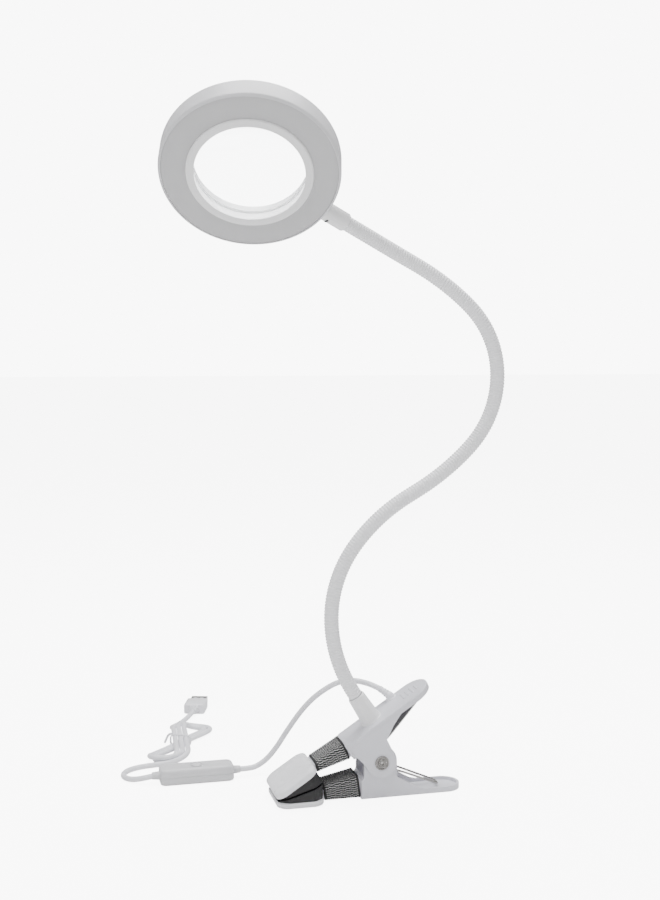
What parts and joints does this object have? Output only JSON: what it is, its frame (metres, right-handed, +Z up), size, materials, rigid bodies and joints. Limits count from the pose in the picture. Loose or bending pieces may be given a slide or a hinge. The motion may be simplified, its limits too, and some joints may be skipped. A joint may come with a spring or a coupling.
{
  "type": "magnifying lamp",
  "caption": "Clip-on ring light magnifier on a flexible neck, with a sprung clip and a corded USB lead with an in-line switch.",
  "frame": {"origin": "on the standing surface, under the clip's rivet, on the lower lever's flat underside", "axes": "+Z up, +X from the jaw tips towards the handles, +Y away from the side where the light faces"},
  "size_m": [0.2293, 0.2858, 0.4099],
  "materials": {
    "head_shell": "fine satin moulded plastic",
    "diffuser": "matte light diffusing plastic",
    "bezel": "satin moulded plastic",
    "lens": "clear polished",
    "board": "white solder mask",
    "led": "yellow phosphor",
    "steel": "nickel plated",
    "neck_sleeve": "ribbed white sleeve",
    "clip_plastic": "satin moulded plastic",
    "pad_plastic": "satin moulded plastic",
    "rubber_black": "matte",
    "wrap_cord": "black and white twisted cord",
    "cord_pvc": "satin PVC",
    "switch_plastic": "satin moulded plastic",
    "usb_metal": "bright nickel",
    "contact_gold": "polished"
  },
  "bodies": {
    "lower_lever": {"lower_jaw": "clip_plastic", "lower_pad_shell": "pad_plastic", "lower_rubber_pad": "rubber_black", "lower_wrap": "wrap_cord", "pivot_rivet": "steel", "rivet_washers": "steel", "torsion_spring": "steel", "cord_lead": "cord_pvc", "switch_bottom_cover": "switch_plastic", "switch_top_cover": "switch_plastic", "switch_contacts": "rubber_black", "cord_middle": "cord_pvc", "cord_hank": "cord_pvc", "hank_tie": "cord_pvc", "cord_tail": "cord_pvc", "usb_overmould": "cord_pvc", "usb_shell": "usb_metal", "usb_tongue": "cord_pvc", "usb_contacts": "contact_gold"},
    "upper_lever": {"upper_jaw": "clip_plastic", "upper_pad_shell": "pad_plastic", "upper_rubber_pad": "rubber_black", "upper_wrap": "wrap_cord", "cord_relief": "cord_pvc", "neck_base_collar": "neck_sleeve", "neck_nut": "steel"},
    "ring_head": {"head_housing": "head_shell", "light_diffuser": "diffuser", "lens_bezel": "bezel", "magnifier_lens": "lens", "rear_lens_ring": "head_shell", "led_board": "board", "leds": "led", "board_screws": "steel", "head_collar": "neck_sleeve", "collar_nut": "steel"},
    "button": {"switch_button": "switch_plastic"},
    "neck_1": {"neck_section_1": "neck_sleeve"},
    "neck_2": {"neck_section_2": "neck_sleeve"},
    "neck_3": {"neck_section_3": "neck_sleeve"},
    "neck_4": {"neck_section_4": "neck_sleeve"},
    "neck_5": {"neck_section_5": "neck_sleeve"},
    "neck_6": {"neck_section_6": "neck_sleeve"},
    "neck_7": {"neck_section_7": "neck_sleeve"},
    "neck_8": {"neck_section_8": "neck_sleeve"}
  },
  "joints": [
    {"name": "clamp_hinge", "type": "hinge", "parent": "lower_lever", "child": "upper_lever", "pos_m": [0, 0, 0.022], "axis": [0, 1, 0], "range_deg": [0, 40], "stiffness_Nm_per_rad": 1.2, "springref_deg": -28.65, "deforming": ["torsion_spring"]},
    {"name": "neck_side_bend", "type": "hinge", "parent": "upper_lever", "child": "neck_1", "pos_m": [-0.01476, 0, 0.06309], "axis": [0.8387, 0, 0.5446], "range_deg": [-20, 20]},
    {"name": "neck_lower_bend", "type": "hinge", "parent": "neck_1", "child": "neck_2", "pos_m": [-0.02832, 0, 0.10745], "axis": [0.02, 0.9997, 0.012], "range_deg": [-14, 14]},
    {"name": "neck_lower_bend_2", "type": "hinge", "parent": "neck_2", "child": "neck_3", "pos_m": [-0.01406, 0, 0.15134], "axis": [0.02, 0.9997, 0.012], "range_deg": [-14, 14]},
    {"name": "neck_lower_bend_3", "type": "hinge", "parent": "neck_3", "child": "neck_4", "pos_m": [0.02139, 0, 0.18162], "axis": [0.02, 0.9997, 0.012], "range_deg": [-14, 14]},
    {"name": "neck_upper_bend", "type": "hinge", "parent": "neck_4", "child": "neck_5", "pos_m": [0.05877, 0, 0.20979], "axis": [0.02, 0.9997, 0.012], "range_deg": [-14, 14]},
    {"name": "neck_upper_bend_2", "type": "hinge", "parent": "neck_5", "child": "neck_6", "pos_m": [0.07595, 0, 0.25231], "axis": [0.02, 0.9997, 0.012], "range_deg": [-14, 14]},
    {"name": "neck_upper_bend_3", "type": "hinge", "parent": "neck_6", "child": "neck_7", "pos_m": [0.05773, 0, 0.29421], "axis": [0.02, 0.9997, 0.012], "range_deg": [-14, 14]},
    {"name": "head_swing", "type": "hinge", "parent": "neck_7", "child": "neck_8", "pos_m": [0.01914, 0, 0.32073], "axis": [0.4384, 0, 0.8988], "range_deg": [-30, 8]},
    {"name": "head_nod", "type": "hinge", "parent": "neck_8", "child": "ring_head", "pos_m": [-0.02218, -0.00977, 0.34089], "axis": [0.4421, -0.6917, 0.5711], "range_deg": [-20, 20]},
    {"name": "switch_press", "type": "slide", "parent": "lower_lever", "child": "button", "axis": [0, 0, -1], "range_m": [0, 0.0008], "stiffness_N_per_m": 400, "springref_m": -0.0005}
  ],
  "couplings": [
    {"joint": "neck_lower_bend_2", "follows": "neck_lower_bend", "ratio": 1},
    {"joint": "neck_lower_bend_3", "follows": "neck_lower_bend", "ratio": 1},
    {"joint": "neck_upper_bend_2", "follows": "neck_upper_bend", "ratio": 1},
    {"joint": "neck_upper_bend_3", "follows": "neck_upper_bend", "ratio": 1}
  ]
}
